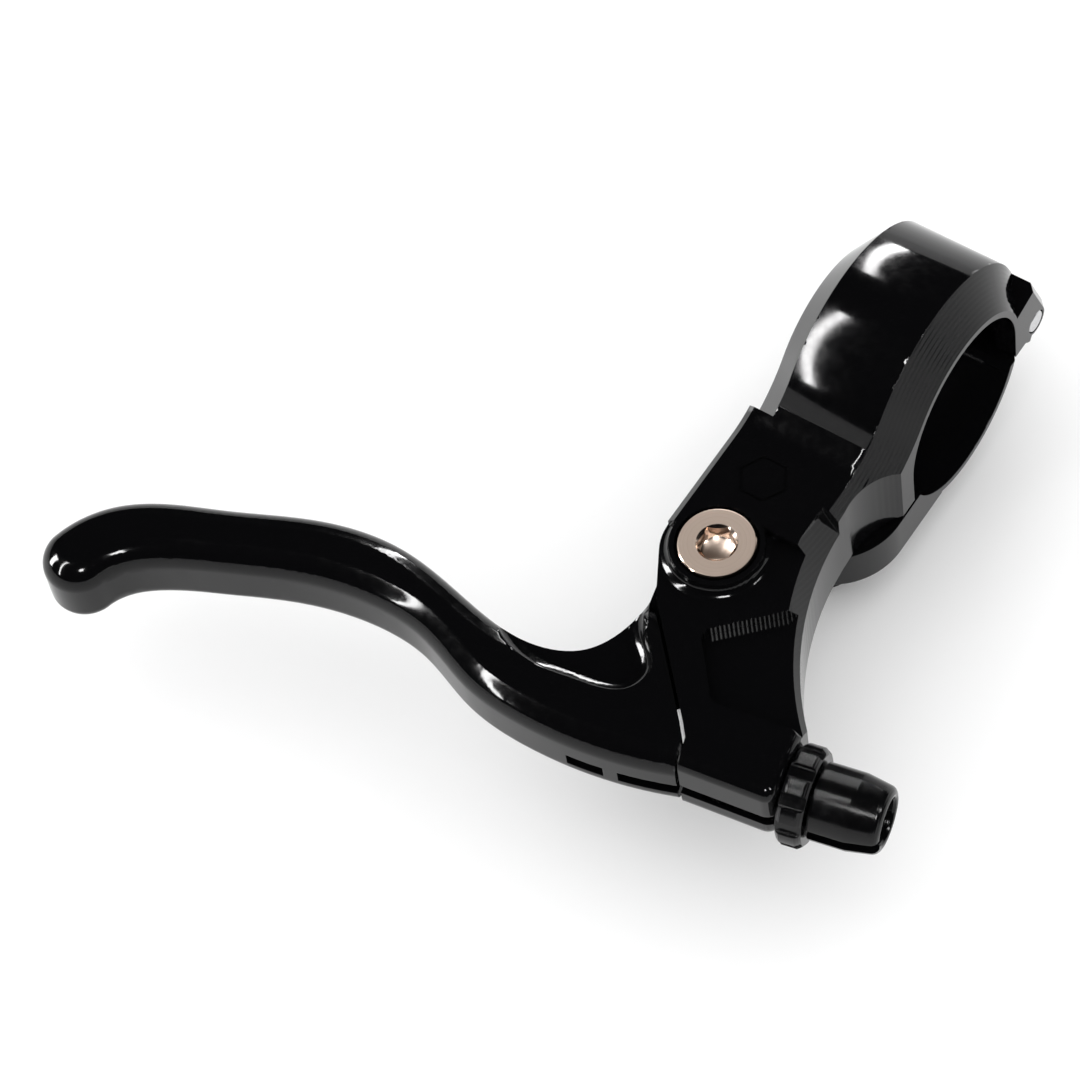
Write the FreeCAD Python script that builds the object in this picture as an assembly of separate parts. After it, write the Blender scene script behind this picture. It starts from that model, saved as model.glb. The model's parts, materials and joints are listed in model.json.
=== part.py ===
"""Short hand lever with a hinged handlebar clamp and a slotted cable adjuster.

Frame: origin on the handlebar axis, halfway across the clamp. +X runs along the bar towards the
cable adjuster, +Y points from the lever over the bar, +Z is normal to the lever's plane, on the side
of the pivot bolt's head. All sizes are millimetres.
"""
import FreeCAD
import Part
import math
import os

V = FreeCAD.Vector
X_AXIS, Z_AXIS = V(1, 0, 0), V(0, 0, 1)

# --- handlebar clamp -----------------------------------------------------------------------------
bar_diameter = 22.2          # standard 7/8 inch handlebar
clamp_width = 18.2
ring_wall = 5.2              # metal round the bar, measured at mid width
bevel_across = 3.3           # wide bevel on both rims of the clamp, along the bar
bevel_deep = 4.4             # and towards the bar
bevel_from = 14              # degrees above the hinge side where the bevel starts
bevel_flat = 6.0             # how far the +X bevel runs on along the flat plate
split_depth = 4.45           # perch reaches this far below the bar's axis, with straight jaws
jaw_gap = 0.85               # perch to clamp half when it grips the bar

# --- clamp hinge ---------------------------------------------------------------------------------
hinge_pin_radius = 1.5
hinge_wall = 1.2             # metal left round the hinge pin in ears and tongue
hinge_y = 15.6
hinge_z = -3.0
tongue_width = 12.0          # clamp half's tongue between the two ears
ear_clearance = 0.3          # tongue to ears, and clamp shoulders to ears

# --- clamp bolt ----------------------------------------------------------------------------------
clamp_bolt_radius = 2.5      # M5, outside of the thread
clamp_bolt_core = 2.07       # M5, root of the thread
clamp_thread_engaged = 6.0
clamp_jaw_thickness = 5.5    # clamp half above the bolt's washer
clamp_bolt_hole = 2.75
clamp_bevel_end = -12        # degrees, where the clamp half's bevel ends by the hinge
clamp_thread_spare = 2.0     # drilled beyond the bolt's tip
washer_thickness = 1.0
washer_radius = 4.7
cap_head_radius = 4.25
cap_head_height = 5.0
hex_key_clamp = 4.0

# --- perch plate ---------------------------------------------------------------------------------
plate_top = 7.5
plate_thickness = 11.95
blend_start_y = -19.9        # where the flat plate starts to climb over the bar
pivot_y = -32.7
front_step = 1.5             # front block stands this much below the pivot boss
front_step_y = -28.4
pocket_depth = 1.5
mark_x = -2.6                # engraved hexagon on the arm
mark_y = -23.2
mark_radius = 3.0
mark_line = 0.3
mark_depth = 0.2
boss_rim = 0.6               # flat rim round the bolt's recess, before the hollow flank
slope_across = 1.6           # slope on the plate's right edge, along the plate
slope_deep = 2.6             # and down
edge_break = 0.85            # chamfer along the arm's -X edge and on the hinge ears
front_round = 1.5            # upper front edge of the front block
belly_round = 2.7            # lower front edge
corner_round = 1.5

# --- pivot ---------------------------------------------------------------------------------------
lever_plane_z = 1.5          # mid height of the lever and of the gap it turns in
fork_gap = 5.5
bolt_head_radius = 4.45
bolt_head_height = 2.0
bolt_shank_radius = 2.5
bolt_proud = 0.1
hex_key_pivot = 4.0
sleeve_radius = 3.5
bush_wall = 0.9
bush_flange = 0.35
hub_wall = 1.2
boss_wall = 1.75             # metal outside the bolt head's recess

# --- lever ---------------------------------------------------------------------------------------
lever_thickness = 9.0
lever_round = 2.8            # upper edges
lever_round_below = 2.0      # lower edges
split_gap = 0.35             # lever's stop face to the perch at rest
tip_x = -64.8
tip_y = -69.1
tip_radius = 4.2
relief_depth = 2.0
relief_cove = 1.9            # round from the relief's floor up to its rim
nipple_radius = 2.9
nipple_x = -3.4

# --- cable and adjuster --------------------------------------------------------------------------
cable_angle = 12.0           # degrees from the bar, in the lever's plane
cable_y_at_face = -51.6
cable_x_at_face = 18.3       # outer face of the perch's front block
cable_z = 0.3
cable_slot = 1.8
stem_radius = 3.5            # M7 by 1 thread
stem_engaged = 8.0
wheel_radius = 5.7
wheel_thickness = 3.0
wheel_lobes = 10
barrel_radius = 4.4
barrel_length = 8.0
barrel_mouth_radius = 3.6
barrel_taper = 3.6
housing_radius = 2.6         # takes a 5 mm cable housing
housing_depth = 4.8
seat_radius = 2.3            # stop ring, let into the bottom of the housing's bore
seat_thickness = 1.1
seat_pocket = 1.2

# --- clearances ----------------------------------------------------------------------------------
thread_clearance = 0.05
running_clearance = 0.03
press_clearance = 0.02
seat_clearance = 0.05
axial_clearance = 0.1
lock_gap = 0.15

# --- sizes that follow ---------------------------------------------------------------------------
bar_radius = bar_diameter / 2
clamp_bolt_y = -bar_radius - clamp_bolt_radius - 3.4
clamp_end_y = clamp_bolt_y + clamp_bolt_radius      # centre of the clamp half's rounded end
half_width = clamp_width / 2
ring_radius = bar_radius + ring_wall
plate_bottom = plate_top - plate_thickness
front_top = plate_top - front_step
hinge_ear_radius = hinge_pin_radius + hinge_wall
clamp_top = -split_depth - jaw_gap
clamp_jaw_bottom = clamp_top - clamp_jaw_thickness
fork_top = lever_plane_z + fork_gap / 2
fork_bottom = lever_plane_z - fork_gap / 2
lever_top = lever_plane_z + lever_thickness / 2
lever_bottom = lever_plane_z - lever_thickness / 2
recess_radius = bolt_head_radius + 0.3
boss_radius = recess_radius + boss_wall
pivot_x = boss_radius - half_width          # the boss ends flush with the clamp's -X side
head_seat_z = plate_top + bolt_proud - bolt_head_height
bush_bore_radius = sleeve_radius + running_clearance
bush_radius = bush_bore_radius + bush_wall
hub_bore_radius = bush_radius + press_clearance
hub_radius = hub_bore_radius + hub_wall
hub_thickness = fork_gap - 2 * bush_flange - 2 * axial_clearance


def outline(start, *steps):
    """Face inside a closed path. A step is one point (line), two (arc) or more (smooth curve)."""
    edges = []
    here = V(*start)
    for step in steps:
        points = [here] + [V(*point) for point in step]
        if len(step) == 1:
            edges.append(Part.LineSegment(*points).toShape())
        elif len(step) == 2:
            edges.append(Part.Arc(*points).toShape())
        else:
            curve = Part.BSplineCurve()
            curve.interpolate(points)
            edges.append(curve.toShape())
        here = points[-1]
    return Part.Face(Part.Wire(edges))


def plan_prism(face, low, high):
    """Stand a face drawn in X and Y between two heights."""
    face.translate(V(0, 0, low))
    return face.extrude(V(0, 0, high - low))


def side_prism(face, low, high):
    """Lay a face drawn as (Y, Z) along the bar, between two places on X."""
    turn = FreeCAD.Matrix(0, 0, 1, low, 1, 0, 0, 0, 0, 1, 0, 0)
    return face.transformGeometry(turn).extrude(V(high - low, 0, 0))


def box(x, y, z):
    """Box between three pairs of limits."""
    return Part.makeBox(x[1] - x[0], y[1] - y[0], z[1] - z[0], V(x[0], y[0], z[0]))


def post(x, y, radius, low, high):
    """Upright cylinder."""
    return Part.makeCylinder(radius, high - low, V(x, y, low), Z_AXIS)


def rod(y, z, radius, low, high):
    """Cylinder along the bar's direction."""
    return Part.makeCylinder(radius, high - low, V(low, y, z), X_AXIS)


def turned(profile, degrees=360, spin_from=0, centre=(0, 0)):
    """Revolve (x, radius) points about a line along X through centre (y, z)."""
    points = [V(x, 0, radius) for x, radius in profile]
    face = Part.Face(Part.makePolygon(points + points[:1]))
    face.rotate(V(), X_AXIS, spin_from)
    body = face.revolve(V(), X_AXIS, degrees)
    body.translate(V(0, *centre))
    return body


def on_circle(centre, radius, degrees):
    """Point on a circle, as two coordinates."""
    angle = math.radians(degrees)
    return centre[0] + radius * math.cos(angle), centre[1] + radius * math.sin(angle)


def on_cable(shape):
    """Move a shape drawn along +X from the front block's outer face onto the cable's line."""
    placed = shape.copy()
    placed.rotate(V(), Z_AXIS, cable_angle)
    placed.translate(V(cable_x_at_face, cable_y_at_face, cable_z))
    return placed


def cable_point(distance, sideways=0.0):
    """Point in the lever's plane, measured along the cable from the outer face and across it."""
    angle = math.radians(cable_angle)
    return (cable_x_at_face + distance * math.cos(angle) - sideways * math.sin(angle),
            cable_y_at_face + distance * math.sin(angle) + sideways * math.cos(angle))


def hexagon(corner, low, high):
    """Upright six-sided prism round the origin."""
    points = [V(*on_circle((0, 0), corner, 60 * k), low) for k in range(7)]
    return Part.Face(Part.makePolygon(points)).extrude(V(0, 0, high - low))


def hex_socket(across_flats, depth):
    """Hexagon key hole with a drilled bottom and a chamfered mouth, opening upwards at z = 0."""
    corner = across_flats / 2 / math.cos(math.radians(30))
    drill = Part.makeCone(0, across_flats / 2, across_flats / 4, V(0, 0, -depth - across_flats / 4))
    mouth = Part.makeCone(corner - 0.3, corner + 0.3, 0.6, V(0, 0, -0.3))
    return hexagon(corner, -depth, 1).fuse([drill, mouth])


# --- shared lines --------------------------------------------------------------------------------
block_front = cable_point(0.0, -4.3)
block_back = cable_point(0.0, 6.0)
nose_corner = on_circle(on_circle((pivot_x, pivot_y), boss_radius, 210), 6.0, -60)
split_knee = (5.7, -52.6)
split_step = (7.0, -54.1)
split_front = (8.0, -57.4)
right_hollow = (10.5, -36.4)
right_crease = (6.9, -21.5)


def perch_plan(low, high):
    """Perch seen from above: arm beside the clamp, pivot boss, stop line and front block."""
    boss = (pivot_x, pivot_y)
    return plan_prism(outline(
        (-half_width, 21, 0),
        [(-half_width, pivot_y, 0)],
        [(*on_circle(boss, boss_radius, 195), 0), (*on_circle(boss, boss_radius, 210), 0)],
        [(*nose_corner, 0)],
        [(*split_knee, 0)],
        [(*split_step, 0)],
        [(*split_front, 0)],
        [(*block_front, 0)],
        [(*block_back, 0)],
        [(*right_hollow, 0), (*right_crease, 0)],
        [(half_width - 1.8, -17.0, 0), (half_width, -13.5, 0)],
        [(half_width, 21, 0)],
        [(-half_width, 21, 0)],
    ), low, high)


def blend_geometry():
    """Radius and centre of the hollow sweep between the flat plate and the ring round the bar."""
    radius = (blend_start_y ** 2 + plate_top ** 2 - ring_radius ** 2) / (2 * (ring_radius - plate_top))
    return radius, (blend_start_y, plate_top + radius)


def ear_lean():
    """Angle round the bar where the ring's outside leaves straight for the hinge ear."""
    return math.degrees(math.atan2(hinge_z, hinge_y)
                        + math.acos((ring_radius - hinge_ear_radius) / math.hypot(hinge_y, hinge_z)))


def perch_side(low, high):
    """Perch seen along the bar: flat plate, sweep, ring over the bar and hinge ear."""
    radius, centre = blend_geometry()
    sweep_end = math.degrees(math.atan2(centre[1], centre[0]))
    lean = ear_lean()
    ear = (hinge_y, hinge_z)
    ear_end = -180 + math.degrees(math.asin((hinge_z - plate_bottom) / hinge_ear_radius))
    return side_prism(outline(
        (-70, plate_bottom, 0),
        [(-70, plate_top, 0)],
        [(blend_start_y, plate_top, 0)],
        [(*on_circle(centre, radius, (sweep_end - 180 - 90) / 2), 0),
         (*on_circle((0, 0), ring_radius, sweep_end), 0)],
        [(0, ring_radius, 0), (*on_circle((0, 0), ring_radius, lean), 0)],
        [(*on_circle(ear, hinge_ear_radius, lean), 0)],
        [(*on_circle(ear, hinge_ear_radius, -60), 0), (*on_circle(ear, hinge_ear_radius, ear_end), 0)],
        [(-70, plate_bottom, 0)],
    ), low, high)


def wedge(across, deep, radius):
    """Section (x, radius) of a bevel on the +X edge of a surface at a radius."""
    inner, outer = half_width - across, half_width + across
    return [(inner, radius), (outer, radius - 2 * deep), (outer, radius + 1), (inner, radius + 1)]


def rim_bevel(across, deep, sweep_from, flat_length):
    """Cutter for a bevel on the clamp's +X rim: round the ring, the sweep and the plate."""
    radius, centre = blend_geometry()
    sweep_end = math.degrees(math.atan2(centre[1], centre[0]))
    ring = turned(wedge(across, deep, ring_radius), sweep_end - bevel_from, bevel_from - 90)
    hollow = [(x, 2 * radius - r) for x, r in wedge(across, deep, radius)]
    sweep = turned(hollow, sweep_end - 180 - sweep_from, sweep_from - 90, centre)
    if not flat_length:
        return ring.fuse(sweep)
    flat_face = Part.Face(Part.makePolygon([V(x, blend_start_y, z) for x, z in
                                            wedge(across, deep, plate_top) + [(half_width - across, plate_top)]]))
    return ring.fuse([sweep, flat_face.extrude(V(0, -flat_length, 0))])


def ear_break():
    """Cutter that breaks the outer corner of the +X hinge ear, down from the ring."""
    section = wedge(edge_break, edge_break, hinge_ear_radius)
    lean = ear_lean()
    start = on_circle((0, 0), ring_radius - hinge_ear_radius, lean)
    face = Part.Face(Part.makePolygon([V(x, 0, r) for x, r in section + section[:1]]))
    face.rotate(V(), X_AXIS, lean - 90)
    face.translate(V(0, *start))
    straight = face.extrude(V(0, hinge_y - start[0], hinge_z - start[1]))
    return straight.fuse(turned(section, lean + 120, -210, (hinge_y, hinge_z)))


def boss_break():
    """Cutter for the same small chamfer round the pivot boss's -X side."""
    low = plate_top - 1.5 * edge_break
    cone = Part.makeCone(boss_radius + edge_break / 2, boss_radius - 1.5 * edge_break, 2 * edge_break,
                         V(pivot_x, pivot_y, low))
    block = box((pivot_x - boss_radius - 2, pivot_x), (pivot_y - boss_radius, pivot_y), (low, plate_top + 1))
    return block.cut(cone)


def lever_gap():
    """Space between the perch's two plates that the lever's hub and tongue turn in."""
    reach = hub_radius + 0.5
    hub = post(pivot_x, pivot_y, reach, fork_bottom, fork_top)
    sweep = plan_prism(outline(
        (pivot_x - 12, pivot_y, 0),
        [(pivot_x + reach, pivot_y, 0)],
        [(pivot_x + reach - 1.1, -50.0, 0)],
        [(pivot_x - 12, -50.0, 0)],
        [(pivot_x - 12, pivot_y, 0)],
    ), fork_bottom, fork_top)
    return hub.fuse(sweep)


def front_lowering():
    """Metal taken off above the front block, leaving the round pivot boss standing."""
    right = box((pivot_x, 40), (-80, front_step_y), (front_top, 20))
    left = box((-40, pivot_x), (-80, pivot_y), (front_top, 20))
    rim = recess_radius + boss_rim
    foot = rim + front_step
    flank = outline((0, front_top - 1, 0), [(foot, front_top - 1, 0)], [(foot, front_top, 0)],
                    [(foot - front_step * 0.707, front_top + front_step * 0.293, 0), (rim, plate_top, 0)],
                    [(rim, 20, 0)], [(0, 20, 0)], [(0, front_top - 1, 0)])
    flank.rotate(V(), X_AXIS, 90)
    boss = flank.revolve(V(), Z_AXIS, 360)
    boss.translate(V(pivot_x, pivot_y, 0))
    return right.fuse(left).cut(boss)


def front_pocket():
    """Shallow pocket in the front block's top, open to the right."""
    face = outline((2.2, -41.3, 0), [(11.2, -32.2, 0)], [(24, -40, 0)], [(23, -46.2, 0)],
                   [(8.2, -48.9, 0)], [(7.0, -48.8, 0), (6.1, -47.9, 0)], [(1.9, -43.0, 0)],
                   [(1.7, -42.2, 0), (2.2, -41.3, 0)])
    return plan_prism(face, front_top - pocket_depth, 20)


def edges_near(solid, test):
    """Edges whose middle and box pass a test."""
    return [edge for edge in solid.Edges if test(edge.CenterOfMass, edge.BoundBox)]


def soften(blank):
    """Round the front block's corner, upper and lower front edges and break the ears' edges."""
    corner = edges_near(blank, lambda c, b: b.ZLength > 3 and b.XLength < 1e-6
                        and math.hypot(c.x - block_front[0], c.y - block_front[1]) < 0.01)
    blank = blank.makeFillet(corner_round, corner)
    front = split_front[1] + 1.5
    upper = edges_near(blank, lambda c, b: abs(b.ZMin - front_top) < 1e-6 and b.ZLength < 1e-6
                       and c.y < front + 1.5 and c.x > split_front[0] + 0.5)
    blank = blank.makeFillet(front_round, upper)
    lower = edges_near(blank, lambda c, b: abs(b.ZMin - plate_bottom) < 1e-6 and b.ZLength < 1e-6
                       and c.y < front and c.x > split_front[0] + 0.5)
    return blank.makeFillet(belly_round, lower)


def engraved_hexagon():
    """Plain hexagon line cut into the top of the arm."""
    ring = hexagon(mark_radius, plate_top - mark_depth, 20).cut(hexagon(mark_radius - mark_line, 0, 20))
    ring.translate(V(mark_x, mark_y, 0))
    return ring


def right_slope():
    """Cutter for the slope on the plate's right edge, a cone about the centre of that hollow side."""
    curve = Part.Arc(V(*block_back, 0), V(*right_hollow, 0), V(*right_crease, 0)).toShape().Curve
    reach = 8.0
    cone = Part.makeCone(curve.Radius, curve.Radius + slope_across / slope_deep * reach, reach,
                         V(curve.Center.x, curve.Center.y, front_top - slope_deep))
    return cone.common(box((5, 24), (-50, -23), (front_top - slope_deep, 20)))


def hinge_slot():
    """Fork between the two ears that the clamp half's tongue swings in."""
    reach = hinge_ear_radius + ear_clearance
    half = tongue_width / 2 + ear_clearance
    mouth = box((-half, half), (bar_radius - 3, hinge_y), (hinge_z - 9, hinge_z + reach))
    return rod(hinge_y, hinge_z, reach, -half, half).fuse(mouth)


def cable_way(start, end, mouth_depth):
    """Slot milled from the front down to the cable's line, with a round bottom."""
    half = cable_slot / 2
    slot = box((start, end), (-mouth_depth, 0), (-half, half))
    return on_cable(slot.fuse(rod(0, 0, half, start, end)))


def perch_body():
    """Machined perch: arm over the bar, hinge ears, lever fork, front block for the adjuster."""
    blank = perch_plan(-8, 20).common(perch_side(-20, 30)).cut(front_lowering())
    blank = soften(blank.removeSplitter())
    bore = rod(0, 0, bar_radius, -30, 30).fuse(box((-30, 30), (-bar_radius, bar_radius), (-9, 0)))
    thread_top = plate_bottom + clamp_thread_engaged + clamp_thread_spare
    return blank.cut([
        rim_bevel(bevel_across, bevel_deep, -90, bevel_flat),
        rim_bevel(bevel_across, bevel_deep, -69, 0).mirror(V(), X_AXIS),
        rim_bevel(edge_break, edge_break, -90, blend_start_y - pivot_y).mirror(V(), X_AXIS),
        ear_break(),
        ear_break().mirror(V(), X_AXIS),
        boss_break(),
        engraved_hexagon(),
        bore,
        right_slope(),
        front_pocket(),
        lever_gap(),
        post(pivot_x, pivot_y, recess_radius, head_seat_z - seat_clearance, 20),
        post(pivot_x, pivot_y, bolt_shank_radius + thread_clearance, -20, 20),
        hinge_slot(),
        rod(hinge_y, hinge_z, hinge_pin_radius + press_clearance, -30, 30),
        post(0, clamp_bolt_y, clamp_bolt_radius, -20, thread_top),
        on_cable(rod(0, 0, stem_radius + thread_clearance, -stem_engaged - 1, 5)),
        cable_way(-30, 5, 12),
    ]).removeSplitter()


def clamp_half():
    """Swinging lower half of the clamp, with its hinge tongue and the ledge for the bolt."""
    ear = (hinge_y, hinge_z)
    lean = math.degrees(math.atan2(hinge_z, hinge_y)
                        - math.acos((ring_radius - hinge_ear_radius) / math.hypot(hinge_y, hinge_z)))
    ledge = -180 - math.degrees(math.asin(clamp_jaw_bottom / ring_radius))
    on_ear = on_circle(ear, hinge_ear_radius, lean)
    body = side_prism(outline(
        (-40, clamp_top, 0),
        [(*on_ear, 0)],
        [(*on_circle((0, 0), ring_radius, lean), 0)],
        [(0, -ring_radius, 0), (*on_circle((0, 0), ring_radius, ledge), 0)],
        [(-40, clamp_jaw_bottom, 0)],
        [(-40, clamp_top, 0)],
    ), -half_width, half_width)
    end = plan_prism(outline(
        (-half_width, 30, 0),
        [(-half_width, clamp_end_y, 0)],
        [(0, clamp_end_y - half_width, 0), (half_width, clamp_end_y, 0)],
        [(half_width, 30, 0)],
        [(-half_width, 30, 0)],
    ), -30, 5)
    bevel = turned([(half_width - bevel_across, ring_radius),
                    (half_width + bevel_across, ring_radius - 2 * bevel_deep),
                    (half_width + bevel_across, ring_radius + 3),
                    (half_width - bevel_across, ring_radius + 3)],
                   clamp_bevel_end - ledge, ledge - 90)
    bevel = bevel.cut(box((0, 30), (-30, -5.5), (clamp_jaw_bottom, 5)))
    ear_room = rod(*ear, hinge_ear_radius + ear_clearance, -30, 30)
    half = tongue_width / 2
    tongue = rod(*ear, hinge_ear_radius, -half, half).fuse(side_prism(outline(
        (hinge_y - hinge_ear_radius, hinge_z, 0),
        [(hinge_y - hinge_ear_radius, clamp_top - 2, 0)],
        [(*on_ear, 0)],
        [(hinge_y, hinge_z, 0)],
        [(hinge_y - hinge_ear_radius, hinge_z, 0)],
    ), -half, half))
    body = body.common(end).cut([ear_room, bevel, bevel.mirror(V(), X_AXIS)]).fuse(tongue)
    return body.cut([
        rod(0, 0, bar_radius, -30, 30),
        rod(*ear, hinge_pin_radius + running_clearance, -30, 30),
        post(0, clamp_bolt_y, clamp_bolt_hole, -30, 5),
    ]).removeSplitter()


def clamp_hinge_pin():
    """Steel pin, fixed in the ears, with slightly broken ends."""
    edge = 0.2
    profile = [(-half_width, 0), (-half_width, hinge_pin_radius - edge),
               (edge - half_width, hinge_pin_radius), (half_width - edge, hinge_pin_radius),
               (half_width, hinge_pin_radius - edge), (half_width, 0)]
    return turned(profile, centre=(hinge_y, hinge_z))


def clamp_bolt():
    """Socket head cap screw that closes the clamp, put in from below."""
    seat = clamp_jaw_bottom - washer_thickness
    tip = plate_bottom + clamp_thread_engaged
    head = post(0, clamp_bolt_y, cap_head_radius, seat - cap_head_height, seat)
    rim = [edge for edge in head.Edges if abs(edge.CenterOfMass.z - seat + cap_head_height) < 1e-6]
    head = head.makeChamfer(0.5, rim)
    shank = post(0, clamp_bolt_y, clamp_bolt_radius, seat, clamp_top)
    core = post(0, clamp_bolt_y, clamp_bolt_core, clamp_top, tip)
    socket = hex_socket(hex_key_clamp, cap_head_height / 2)
    socket.rotate(V(), X_AXIS, 180)
    socket.translate(V(0, clamp_bolt_y, seat - cap_head_height))
    return head.fuse([shank, core]).cut(socket).removeSplitter()


def clamp_bolt_washer():
    """Plain washer between the screw's head and the clamp half."""
    seat = clamp_jaw_bottom
    ring = post(0, clamp_bolt_y, washer_radius, seat - washer_thickness, seat)
    return ring.cut(post(0, clamp_bolt_y, clamp_bolt_radius + seat_clearance, seat - 5, seat + 5))


def pivot_bolt():
    """Stainless button bolt: flat turned head, shank through the sleeve, thread in the lower plate."""
    top = plate_top + bolt_proud
    seat = head_seat_z
    tip = plate_bottom + 0.3
    head = Part.makeCylinder(bolt_head_radius, bolt_head_height, V(0, 0, seat))
    rim = [edge for edge in head.Edges if abs(edge.CenterOfMass.z - top) < 1e-6]
    head = head.makeChamfer(0.25, rim)
    shank = Part.makeCylinder(bolt_shank_radius, seat - tip, V(0, 0, tip))
    socket = hex_socket(hex_key_pivot, 2.2)
    socket.translate(V(0, 0, top))
    bolt = head.fuse(shank).cut(socket).removeSplitter()
    bolt.translate(V(pivot_x, pivot_y, 0))
    return bolt


def pivot_sleeve():
    """Hardened sleeve round the bolt: it spans the fork and the bushes turn on it."""
    low, high = fork_bottom + seat_clearance, fork_top - seat_clearance
    bore = post(pivot_x, pivot_y, bolt_shank_radius + running_clearance, low - 1, high + 1)
    return post(pivot_x, pivot_y, sleeve_radius, low, high).cut(bore)


def flanged_bush(upper):
    """Flanged bearing bush pressed into the lever's hub from one side."""
    outer = hub_thickness / 2
    tube = post(pivot_x, pivot_y, bush_radius, 0.2, outer)
    flange = post(pivot_x, pivot_y, hub_radius - 0.25, outer, outer + bush_flange)
    bush = tube.fuse(flange).cut(post(pivot_x, pivot_y, bush_bore_radius, -1, 9)).removeSplitter()
    if not upper:
        bush = bush.mirror(V(), Z_AXIS)
    bush.translate(V(0, 0, lever_plane_z))
    return bush


def stop_point(point):
    """Point on the lever's stop face that lies against a corner of the perch's stop line."""
    lean = math.atan2(split_knee[1] - nose_corner[1], split_knee[0] - nose_corner[0])
    return (point[0] + split_gap * math.sin(lean), point[1] - split_gap * math.cos(lean), 0)


def blade_outline():
    """Lever seen from above: stop face, rear edge, ball tip, finger hook and front edge."""
    tip = (tip_x, tip_y)
    corner = stop_point(nose_corner)
    return outline(
        corner,
        [(corner[0] - 0.8, corner[1] + 0.3, 0)],
        [(-6.7, -45.0, 0), (-9.1, -49.7, 0), (-14.6, -52.1, 0), (-22.7, -51.4, 0), (-33.7, -49.5, 0),
         (-43.5, -51.1, 0), (-53.8, -55.5, 0), (-61.8, -59.1, 0), (-65.4, -61.9, 0), (-68.0, -65.7, 0),
         (*on_circle(tip, tip_radius, 175), 0)],
        [(*on_circle(tip, tip_radius, 265), 0), (*on_circle(tip, tip_radius, -12), 0)],
        [(-59.6, -68.0, 0), (-56.9, -65.7, 0), (-49.9, -62.2, 0), (-42.6, -59.1, 0),
         (-33.0, -57.0, 0), (-26.0, -57.45, 0), (-18.5, -60.05, 0), (-10.0, -61.0, 0), stop_point(split_front)],
        [stop_point(split_step)],
        [stop_point(split_knee)],
        [corner],
    )


def round_edges(solid, radius, height, away_from):
    """Round the flat edges at a height, left of a place on X."""
    return solid.makeFillet(radius, edges_near(solid, lambda c, b: abs(b.ZMin - height) < 1e-6
                                               and abs(b.ZMax - height) < 1e-6 and c.x < away_from))


def relief(floor, rim):
    """Hollow with a coved wall behind the nose, in one face of the lever, open to the rear edge."""
    face = outline((-6.6, -41.4, 0), [(-5.6, -43.0, 0), (-3.8, -45.4, 0), (-1.6, -47.4, 0), (-0.8, -48.9, 0),
                                (-0.85, -50.6, 0), (-1.7, -52.3, 0), (-3.3, -53.4, 0), (-4.9, -53.9, 0),
                                (-7.9, -54.4, 0), (-11.0, -54.9, 0), (-13.5, -54.9, 0), (-16.0, -54.3, 0),
                                (-18.8, -52.7, 0), (-22.0, -50.0, 0)],
                   [(-22, -40, 0)], [(-9, -38, 0)], [(-6.6, -41.4, 0)])
    hollow = plan_prism(face, min(floor, rim), max(floor, rim))
    foot = edges_near(hollow, lambda c, b: abs(b.ZMin - floor) < 1e-6 and b.ZLength < 1e-6
                      and b.XLength > 12 and b.YMin < -50)
    return hollow.makeFillet(relief_cove, foot)


def lever_blade():
    """Lever in one piece: finger blade, stop face, tongue and hub."""
    blade = plan_prism(blade_outline(), lever_bottom, lever_top)
    blade = round_edges(blade, lever_round, lever_top, -4.0)
    blade = round_edges(blade, lever_round_below, lever_bottom, -4.0)
    hub_low = lever_plane_z - hub_thickness / 2
    hub_high = lever_plane_z + hub_thickness / 2
    tongue = plan_prism(outline(
        (pivot_x - hub_radius, pivot_y, 0),
        [(pivot_x + hub_radius, pivot_y, 0)],
        [(pivot_x + hub_radius - 1.1, -50.0, 0)],
        [(-5.4, -50.0, 0)],
        [(-5.8, -43.0, 0)],
        [(pivot_x - hub_radius, pivot_y, 0)],
    ), hub_low, hub_high)
    hub = post(pivot_x, pivot_y, hub_radius, hub_low, hub_high)
    to_nipple = (nipple_x - cable_x_at_face) / math.cos(math.radians(cable_angle))
    nipple = (nipple_x, cable_point(to_nipple)[1])
    reliefs = [relief(lever_top - relief_depth, lever_top + 0.5),
               relief(lever_bottom + relief_depth, lever_bottom - 0.5)]
    return blade.cut(reliefs).fuse([tongue, hub]).cut([
        post(pivot_x, pivot_y, hub_bore_radius, -20, 20),
        post(*nipple, nipple_radius, -20, cable_z + cable_slot / 2 + 1.5),
        cable_way(-18.3, -5, 12),
        cable_way(to_nipple, -5, 0.1),
        cable_way(to_nipple - 2.2, to_nipple + 2.2, 12),
    ]).removeSplitter()


def adjuster_barrel():
    """Slotted barrel with its hollow threaded stem."""
    start = wheel_thickness + 2 * lock_gap
    end = start + barrel_length
    profile = [(-stem_engaged, 0), (-stem_engaged, stem_radius - 0.4),
               (0.4 - stem_engaged, stem_radius), (start, stem_radius), (start, barrel_radius - 0.35),
               (start + 0.35, barrel_radius), (end - barrel_taper, barrel_radius),
               (end - 0.7, barrel_mouth_radius + 0.25), (end, barrel_mouth_radius - 0.5), (end, 0)]
    pocket_end = end - housing_depth - seat_pocket
    bore = rod(0, 0, housing_radius, end - housing_depth, end + 1)
    pocket = rod(0, 0, seat_radius, pocket_end, end - housing_depth)
    hole = rod(0, 0, cable_slot / 2, -stem_engaged - 1, end + 1)
    slot = box((-stem_engaged - 1, end + 1), (-12, 0), (-cable_slot / 2, cable_slot / 2))
    return on_cable(turned(profile).cut([bore, pocket, hole, slot]).removeSplitter())


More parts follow.
